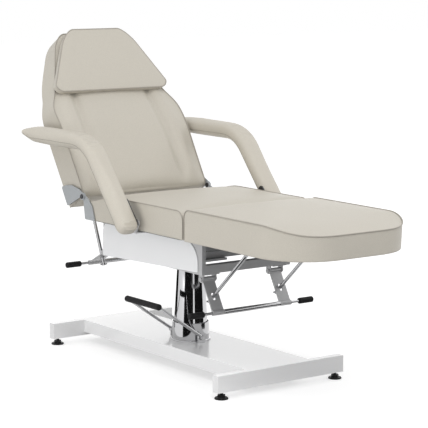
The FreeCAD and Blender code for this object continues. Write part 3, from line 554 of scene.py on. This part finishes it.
def legBend(s, point):  # the nose droops towards the foot end, and its face leans back under the seam
    x, y, z = point
    length = s["front"] - s["rear"]
    along = (x - s["rear"]) / length
    height = (z - s["bottom"]) / (s["seam"] - s["bottom"])
    droop = s["droop"] * smoothStep(s["droopStart"], 1.0, along)
    lean = s["noseSetBack"] * (1 - height) * smoothStep(s["leanStart"], 1.0, along)
    return Vector((x - lean, y, z - droop * height))


def buildLeg(s):
    edgeY = s["halfWidth"] - sideInset
    pad = squareBlock("legPad", (s["rear"], -edgeY, s["bottom"]), (s["front"], edgeY, s["seam"]))
    bevelEdges(pad, lambda a, b: min(a.x, b.x) > s["front"] - nearly and upright(a, b), s["cornerRadius"], 28)
    bevelEdges(pad, lambda a, b: min(a.z, b.z) > s["seam"] - nearly and max(a.x, b.x) < s["rear"] + nearly,
               s["rearRound"], 8)
    remesh(pad, clothSettings["voxel"])
    outline = roundedRun([(s["rear"] - runOver, -edgeY), (s["front"], -edgeY), (s["front"], edgeY),
                          (s["rear"] - runOver, edgeY)], [0, s["cornerRadius"], s["cornerRadius"], 0])
    reach, skin = clothSettings["pinReach"], clothSettings["skin"]
    pinned, share = [], []
    for v in pad.data.vertices:
        depth = cornerDepth(v.co.y, s["front"] - v.co.x, edgeY, s["cornerRadius"])
        atSeam = v.co.z > s["seam"] - reach and depth < reach
        rearSeam = abs(v.co.y) > edgeY - reach and v.co.x < s["rear"] + s["rearBand"]
        pinned.append(atSeam or rearSeam or v.co.z < s["bottom"] + clothSettings["footBand"])
        wallShare = clothSettings["wallShare"] if depth < skin else 1.0
        share.append(s["rearShare"] if v.co.x < s["rear"] + skin else wallShare)
    for v in pad.data.vertices:
        v.co = legBend(s, v.co)
    blowUp(pad, pinned, share, s["crownCap"])
    finishPad(pad, hideMaterial, "legrest", ["leg_cushion"])
    nose = [p for p in outline if p.x > s["rear"] + s["rearRound"]]
    topRun = [legBend(s, (p.x, p.y, s["seam"])) for p in nose]
    corner = roundedRun([(s["rear"], s["bottom"]), (s["rear"] + runOver, s["bottom"]),
                         (s["rear"] + runOver, s["seam"]), (s["rear"], s["seam"])], [0, 0, 0, s["rearRound"]])
    down = [p for p in corner if p.x < s["rear"] + s["rearRound"] and p.y > s["bottom"] + pipeStart]
    rightDown = [(p.x, -edgeY, p.y) for p in reversed(down)]
    leftDown = [(p.x, edgeY, p.y) for p in down]
    tubeAlong("legPiping", rightDown + topRun + leftDown, s["pipe"], pipingShadeMaterial, "legrest")


buildLeg(legSettings)
print("leg rest cushion done")


# backrest cushion and head pillow, drawn flat behind the hinge line and then raised with it
hingeLow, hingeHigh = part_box("back_hinge_bolts")
hingeX = (hingeLow[0] + hingeHigh[0]) / 2
hingeZ = (hingeLow[2] + hingeHigh[2]) / 2
recline = math.radians(59)
raiseBack = (Matrix.Translation((hingeX, 0, hingeZ)) @ Matrix.Rotation(recline, 4, "Y")
             @ Matrix.Translation((-hingeX, 0, -hingeZ)))
backSettings = {
    "start": 0.005, "length": 0.698, "depth": 0.118, "halfWidth": 0.2865, "lowTaper": 0.004, "shoulder": 0.345,
    "waist": 0.445, "waistHalf": 0.2475, "topHalf": 0.163, "topRadius": 0.070, "lowRound": 0.022,
    "rearSpread": 0.017, "spreadFrom": 0.34, "spreadFull": 0.50, "spreadTo": 0.68,
    "recede": 0.034, "recedeFrom": 0.26, "recedeTo": 0.47,
    "creaseLow": 0.196, "creaseHigh": 0.172, "creaseRun": 0.40, "creaseDepth": 0.012, "creaseWidth": 0.016,
    "wing": 0.010, "wingOut": 0.045, "wingWidth": 0.030, "creaseEdge": 0.05, "creaseFoot": (0.01, 0.08),
    "creaseEnd": (0.44, 0.52), "lowBand": 0.03, "lowShare": 0.10, "crownCap": 0.018, "pipe": 0.0020,
}


def backHalf(s, u):  # half width of the back at a height u above the hinge line
    shoulder = s["halfWidth"] - s["lowTaper"] * smoothStep(0.0, s["shoulder"], s["shoulder"] - u)
    sweep = smoothStep(s["shoulder"] - 0.02, s["waist"] + 0.01, u)
    upper = s["waistHalf"] + (s["topHalf"] - s["waistHalf"]) * (u - s["waist"]) / (s["length"] - s["waist"])
    return shoulder * (1 - sweep) + upper * sweep


def backBend(s, point):  # narrows to the head end, where the front also stands back behind the pillow
    x, y, z = point
    u = hingeX - x
    share = y / s["halfWidth"]
    height = (z - hingeZ) / s["depth"] + 1
    swell = smoothStep(s["spreadFrom"], s["spreadFull"], u) * (1 - smoothStep(s["spreadFull"], s["spreadTo"], u))
    half = backHalf(s, u) + (1 - height) * s["rearSpread"] * swell
    return Vector((x, share * half, z - height * s["recede"] * smoothStep(s["recedeFrom"], s["recedeTo"], u)))


def creaseAt(s, u):
    return s["creaseLow"] + (s["creaseHigh"] - s["creaseLow"]) * u / s["creaseRun"]


def buildBack(s):
    low = (hingeX - s["length"], -s["halfWidth"], hingeZ - s["depth"])
    high = (hingeX - s["start"], s["halfWidth"], hingeZ)
    radius = s["topRadius"]
    pad = squareBlock("backPad", low, high)
    bevelEdges(pad, lambda a, b: max(a.x, b.x) < low[0] + nearly and upright(a, b), radius, 16)
    bevelEdges(pad, lambda a, b: min(a.x, b.x) > high[0] - nearly and min(a.z, b.z) > hingeZ - nearly,
               s["lowRound"], 8)
    remesh(pad, clothSettings["voxel"])
    pinned, share, inner = [], [], []
    reach, skin = clothSettings["pinReach"], clothSettings["skin"]
    for v in pad.data.vertices:
        depth = cornerDepth(v.co.y, v.co.x - low[0], s["halfWidth"], radius)
        atSeam = v.co.z > hingeZ - reach and depth < reach
        lowEnd = high[0] - v.co.x < s["lowBand"] and abs(v.co.y) > s["halfWidth"] - reach
        pinned.append(atSeam or lowEnd or v.co.z < low[2] + clothSettings["footBand"])
        wallShare = clothSettings["wallShare"] if depth < skin else 1.0
        share.append(s["lowShare"] if v.co.x > high[0] - skin else wallShare)
        inner.append(depth if v.co.z > hingeZ - skin / 2 else 0.0)
    for v in pad.data.vertices:
        v.co = backBend(s, v.co)
    blowUp(pad, pinned, share, s["crownCap"])
    for v, depth in zip(pad.data.vertices, inner):
        u = hingeX - v.co.x
        fade = (smoothStep(0.0, s["creaseEdge"], depth) * (1 - smoothStep(*s["creaseEnd"], u))
                * smoothStep(*s["creaseFoot"], u))
        crease = creaseAt(s, u)
        v.co.z -= fade * s["creaseDepth"] * bell(abs(v.co.y), crease, s["creaseWidth"])
        v.co.z += fade * s["wing"] * bell(abs(v.co.y), crease + s["wingOut"], s["wingWidth"])
    pad.data.transform(raiseBack)
    finishPad(pad, hideMaterial, "backrest", ["back_cushion"])
    turnX = high[0] - s["lowRound"]
    plan = roundedRun([(high[0], -s["halfWidth"]), (high[0], s["halfWidth"]), (low[0], s["halfWidth"]),
                       (low[0], -s["halfWidth"])], [0, 0, radius, radius])
    first = next(i for i, p in enumerate(plan) if p.x < turnX)
    front = [p for p in plan[first:] + plan[:first] if p.x < turnX]
    seam = [raiseBack @ backBend(s, (p.x, p.y, hingeZ)) for p in front]
    corner = roundedRun([(high[0], low[2]), (high[0], hingeZ), (high[0] - runOver, hingeZ),
                         (high[0] - runOver, low[2])], [0, s["lowRound"], 0, 0])
    down = [p for p in corner if p.x > turnX and p.y > low[2] + pipeStart]
    down.sort(key=lambda p: p.y + (high[0] - p.x))
    lowHalf = backHalf(s, 0.0)
    opening = [raiseBack @ Vector((p.x, lowHalf, p.y)) for p in down]
    closing = [raiseBack @ Vector((p.x, -lowHalf, p.y)) for p in reversed(down)]
    tubeAlong("backPiping", opening + seam + closing, s["pipe"], pipingShadeMaterial, "backrest")


buildBack(backSettings)
print("backrest cushion done")

pillowSettings = {
    "start": 0.434, "end": 0.698, "base": -0.024, "seam": 0.002, "lowHalf": 0.255, "taper": 0.49, "taperFrom": 0.462,
    "lowRadius": 0.032, "highRadius": 0.070, "voxel": 0.005, "footBand": 0.007, "pinReach": 0.006, "wallShare": 0.4,
    "crownCap": 0.017, "pipe": 0.0022, "pipeSink": 0.001,
}


def pillowBend(s, point):  # straight flanks that run together towards the crown of the head
    x, y, z = point
    u = hingeX - x
    half = s["lowHalf"] - s["taper"] * max(0.0, u - s["taperFrom"])
    return Vector((x, y / s["lowHalf"] * half, z))


def buildPillow(s):
    low = (hingeX - s["end"], -s["lowHalf"], hingeZ + s["base"])
    high = (hingeX - s["start"], s["lowHalf"], hingeZ + s["seam"])
    pad = squareBlock("headPillow", low, high)
    bevelEdges(pad, lambda a, b: max(a.x, b.x) < low[0] + nearly and upright(a, b), s["highRadius"], 12)
    bevelEdges(pad, lambda a, b: min(a.x, b.x) > high[0] - nearly and upright(a, b), s["lowRadius"], 8)
    remesh(pad, s["voxel"])
    pinned, share = [], []
    for v in pad.data.vertices:
        depth = min(cornerDepth(v.co.y, v.co.x - low[0], s["lowHalf"], s["highRadius"]),
                    cornerDepth(v.co.y, high[0] - v.co.x, s["lowHalf"], s["lowRadius"]))
        atSeam = v.co.z > high[2] - s["pinReach"] and depth < s["pinReach"]
        pinned.append(atSeam or v.co.z < low[2] + s["footBand"])
        share.append(s["wallShare"] if depth < clothSettings["skin"] else 1.0)
    for v in pad.data.vertices:
        v.co = pillowBend(s, v.co)
    blowUp(pad, pinned, share, s["crownCap"])
    pad.data.transform(raiseBack)
    finishPad(pad, hideMaterial, "backrest", ["head_pillow"])
    plan = roundedRun([(high[0], low[1]), (high[0], high[1]), (low[0], high[1]), (low[0], low[1])],
                      [s["lowRadius"], s["lowRadius"], s["highRadius"], s["highRadius"]])
    seam = [raiseBack @ pillowBend(s, (p.x, p.y, high[2] - s["pipeSink"])) for p in plan]
    tubeAlong("pillowPiping", seam, s["pipe"], pipingShadeMaterial, "backrest", closed=True)


buildPillow(pillowSettings)
print("head pillow done")


# armrest pads: the square pad is turned into a soft roll about its middle line, pointed at its rear end, then swollen
armLow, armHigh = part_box("arm_pad_right")
armSettings = {
    "voxel": 0.0045, "smooth": 12, "crownCap": 0.004, "innerBand": 0.008, "roundness": 2.8, "leastShare": 0.5,
    "tipReach": 0.085, "tipShare": 0.42, "tipLevel": 0.6,
    "inner": -armHigh[1], "outer": -armLow[1], "tip": armLow[0], "top": armHigh[2], "halfHeight": 0.025,
    "fullHeight": 0.0285, "fullWidth": 0.040, "wrap": 0.005, "lowReach": 1.28,
    "pivot": (columnX + 0.082, 0.554), "lean": 40.0, "bend": 0.105, "softBend": 0.165, "linePoints": 180,
    "lineStep": 0.003, "seam": 0.0009, "seamShare": 0.42,
}


def armTip(s, point):  # the underside rises to the rear end of the pad
    x, y, z = point
    share = 1 - (1 - s["tipShare"]) * (1 - smoothStep(0.0, s["tipReach"], x - s["tip"]))
    level = s["top"] - s["tipLevel"] * s["halfHeight"]
    return Vector((x, y, level + (z - level) * share))


def armLine(s, bend):  # middle line of the arm, from its pivot up and round the bend to the rear end, evenly spaced
    centreZ = s["top"] - s["halfHeight"]
    pivotX, pivotZ = s["pivot"]
    cornerX = pivotX - (centreZ - pivotZ) * math.tan(math.radians(s["lean"]))
    tipX = s["tip"] + s["halfHeight"]
    line = roundedRun([(pivotX, pivotZ), (cornerX, centreZ), (tipX, centreZ), (tipX, pivotZ)], [0, bend, 0, 0],
                      s["lineStep"])
    last = next(i for i, p in enumerate(line) if p.x <= tipX + nearly)
    line = line[:last + 1]
    travelled = [0.0]
    for a, b in zip(line, line[1:]):
        travelled.append(travelled[-1] + (b - a).length)
    even, i = [], 0
    for k in range(s["linePoints"]):
        wanted = travelled[-1] * k / (s["linePoints"] - 1)
        while i < len(line) - 2 and travelled[i + 1] < wanted:
            i += 1
        even.append(line[i].lerp(line[i + 1], (wanted - travelled[i]) / (travelled[i + 1] - travelled[i])))
    return even


def headingAt(line, i):
    return (line[min(i + 1, len(line) - 1)] - line[max(i - 1, 0)]).normalized()


def roundArm(s, square, soft, side, point):  # from the square pad's line to the softer line of the roll
    flat = Vector((point[0], point[2]))
    i = min(range(len(square)), key=lambda k: (square[k] - flat).length_squared)
    away = flat - square[i]
    middle = (s["inner"] + s["outer"]) / 2
    across = abs(point[1]) - middle
    heading, softHeading = headingAt(square, i), headingAt(soft, i)
    along, off = away.dot(heading), away.cross(heading)
    atEnd = i in (0, len(square) - 1)
    shares = [abs(off) / s["halfHeight"], abs(across) / (s["outer"] - middle), abs(along) / s["halfHeight"] * atEnd]
    whole = sum(share ** s["roundness"] for share in shares) ** (1 / s["roundness"])
    squeeze = 1 / max(whole, s["leastShare"])
    stretch = s["lowReach"] if i == 0 else 1.0
    turned = softHeading * along * stretch + Vector((softHeading.y, -softHeading.x)) * off
    moved = soft[i] + turned * squeeze * s["fullHeight"] / s["halfHeight"]
    wide = across * squeeze * s["fullWidth"] / (s["outer"] - middle)
    return Vector((moved.x, side * (s["inner"] - s["wrap"] + s["fullWidth"] + wide), moved.y))


def buildArm(sideName, side, s):
    node = nodes["arm_pad_" + sideName]
    pad = bpy.data.objects.new("armPad" + sideName.capitalize(), node.data.copy())
    bpy.context.collection.objects.link(pad)
    pick(pad)
    bpy.ops.object.mode_set(mode="EDIT")
    bpy.ops.mesh.select_all(action="SELECT")
    bpy.ops.mesh.remove_doubles(threshold=0.0001)
    bpy.ops.mesh.normals_make_consistent(inside=False)
    bpy.ops.object.mode_set(mode="OBJECT")
    remesh(pad, s["voxel"])
    square, soft = armLine(s, s["bend"]), armLine(s, s["softBend"])
    for v in pad.data.vertices:
        v.co = armTip(s, roundArm(s, square, soft, side, v.co))
    smoothOver(pad, s["smooth"])
    pinned = [abs(v.co.y) < s["inner"] + s["innerBand"] for v in pad.data.vertices]
    blowUp(pad, pinned, [1.0] * len(pinned), s["crownCap"])
    finishPad(pad, armHideMaterial, "armrest_" + sideName, ["arm_pad_" + sideName])
    innerFace = s["inner"] - s["wrap"]
    for faceName, level in (("Inner", innerFace), ("Outer", innerFace + 2 * s["fullWidth"])):
        points = []
        for i in range(len(soft)):  # sewn along each face, towards the rear and the underside, in a dark colour that paints the shade line there
            heading = headingAt(soft, i)
            p = soft[i] + Vector((-heading.y, heading.x)) * s["fullHeight"] * s["seamShare"]
            points.append(pad.closest_point_on_mesh(armTip(s, (p.x, side * level, p.y)))[1])
        tubeAlong("armSeam" + sideName.capitalize() + faceName, points, s["seam"], seamShadeMaterial, "armrest_" + sideName)


for sideName, side in (("left", 1), ("right", -1)):
    buildArm(sideName, side, armSettings)
print("armrest pads done")


# floor, light and camera
stageSettings = {
    "floorSize": 40.0, "floorLevel": -0.0005, "floorColour": (0.70, 0.70, 0.70, 1), "floorGlow": 0.54,
    "worldStrength": 0.68, "cardLevel": 0.0002,
    "sideCard": (-84.0, -19.0, 0.50, 9.0),  # first and last angle about the column, near and far edge
    "frontCard": (-8.6, 60.0, 0.66, 9.0), "rearCard": (173.0, 212.0, 0.66, 9.0),
}


def seenDirectly(tree):  # 1 for rays from the camera, off gloss and through glass
    path = tree.nodes.new("ShaderNodeLightPath")
    seen = addMath(tree, "MAXIMUM", path.outputs["Is Camera Ray"], path.outputs["Is Glossy Ray"])
    return addMath(tree, "MAXIMUM", seen, path.outputs["Is Transmission Ray"])


def buildStage(s):
    clearSelection()
    bpy.ops.mesh.primitive_plane_add(size=s["floorSize"], location=(0, 0, s["floorLevel"]))
    floor = bpy.context.object
    floor.name = "studioFloor"
    bpy.ops.object.transform_apply(location=True, rotation=True, scale=True)
    material, tree, shader = newMaterial("studioFloor")
    shader.inputs["Base Color"].default_value = s["floorColour"]
    shader.inputs["Roughness"].default_value = 0.9
    shader.inputs["Specular IOR Level"].default_value = 0.1
    shader.inputs["Emission Color"].default_value = (1, 1, 1, 1)
    glow = addMath(tree, "MULTIPLY", seenDirectly(tree), s["floorGlow"])
    tree.links.new(glow, shader.inputs["Emission Strength"])
    floor.data.materials.append(material)
    world = bpy.data.worlds.new("studio")
    bpy.context.scene.world = world
    world.use_nodes = True
    backdrop = world.node_tree.nodes["Background"]
    backdrop.inputs["Color"].default_value = (1, 1, 1, 1)
    strength = addRange(world.node_tree, seenDirectly(world.node_tree), 0.0, 1.0, s["worldStrength"], 1.0)
    world.node_tree.links.new(strength, backdrop.inputs["Strength"])


def buildDarkCard(s, name):  # a dark sheet on the studio floor, seen only in the gloss of the chrome
    clearSelection()
    firstAngle, lastAngle, near, far = s[name]
    bpy.ops.mesh.primitive_cylinder_add(vertices=360, radius=far, depth=1.0, end_fill_type="NOTHING",
                                        location=(columnX, 0, s["cardLevel"]))
    card = bpy.context.object
    card.name = name
    bpy.ops.object.transform_apply(location=True, rotation=True, scale=True)
    bpy.ops.object.mode_set(mode="EDIT")
    bpy.ops.mesh.select_mode(type="FACE")
    bpy.ops.mesh.select_all(action="DESELECT")
    bpy.ops.object.mode_set(mode="OBJECT")
    for face in card.data.polygons:
        angle = math.degrees(math.atan2(face.center.y, face.center.x - columnX))
        face.select = (angle - firstAngle) % 360 > lastAngle - firstAngle
    bpy.ops.object.mode_set(mode="EDIT")
    bpy.ops.mesh.delete(type="FACE")
    bpy.ops.object.mode_set(mode="OBJECT")
    for v in card.data.vertices:  # the upper ring is drawn in and the sheet laid flat
        share = near / far if v.co.z > s["cardLevel"] else 1.0
        v.co = (columnX + (v.co.x - columnX) * share, v.co.y * share, s["cardLevel"])
    material, tree, shader = newMaterial(name)
    shader.inputs["Base Color"].default_value = (0.01, 0.01, 0.01, 1)
    shader.inputs["Roughness"].default_value = 1.0
    shader.inputs["Specular IOR Level"].default_value = 0.0
    card.data.materials.append(material)
    card.visible_camera = False
    card.visible_diffuse = False
    card.visible_shadow = False
    card.visible_transmission = False


def addPanel(name, place, target, size, power, mirrored=True):
    light = bpy.data.lights.new(name, "AREA")
    light.shape = "RECTANGLE"
    light.size, light.size_y = size
    light.energy = power
    lamp = bpy.data.objects.new(name, light)
    bpy.context.collection.objects.link(lamp)
    lamp.location = place
    lamp.visible_glossy = mirrored
    lamp.visible_camera = False
    lamp.rotation_euler = (Vector(target) - Vector(place)).to_track_quat("-Z", "Y").to_euler()


cameraSettings = {
    "place": (5.27184, -3.82933, 1.51668), "yaw": 53.26, "pitch": 8.42, "roll": 0.24,
    "focalPixels": 1786.93, "framePixels": 428.0, "sensor": 36.0,
}


def buildCamera(s):
    yaw, pitch, roll = (math.radians(s[k]) for k in ("yaw", "pitch", "roll"))
    back = Vector((math.sin(yaw) * math.cos(pitch), -math.cos(yaw) * math.cos(pitch), math.sin(pitch)))
    right = Vector((math.cos(yaw), math.sin(yaw), 0))
    up = back.cross(right)
    tiltedRight = right * math.cos(roll) + up * math.sin(roll)
    tiltedUp = up * math.cos(roll) - right * math.sin(roll)
    lens = bpy.data.cameras.new("photoCamera")
    lens.sensor_width = s["sensor"]
    lens.lens = s["focalPixels"] / s["framePixels"] * s["sensor"]
    lens.clip_end = 100
    camera = bpy.data.objects.new("photoCamera", lens)
    bpy.context.collection.objects.link(camera)
    turn = Matrix((tiltedRight, tiltedUp, back)).transposed().to_4x4()
    camera.matrix_world = Matrix.Translation(Vector(s["place"]) + Vector((columnX, 0, 0))) @ turn
    bpy.context.scene.camera = camera


buildStage(stageSettings)
for cardName in ("sideCard", "frontCard", "rearCard"):
    buildDarkCard(stageSettings, cardName)
addPanel("keyPanel", (3.0, -1.3, 4.8), (0, 0, 0.6), (3.0, 3.0), 92)
addPanel("fillPanel", (0.1, -3.4, 0.5), (0, 0, 0.45), (1.6, 1.0), 22, mirrored=False)
addPanel("backPanel", (0.5, 4.0, 3.6), (0, 0, 0.6), (3.0, 2.0), 20)
addPanel("rearPanel", (-3.4, 2.6, 1.0), (0, 0, 0.2), (3.0, 1.2), 6)
buildCamera(cameraSettings)
bpy.context.scene.view_settings.view_transform = "Standard"
print("stage and camera done")

clearSelection()
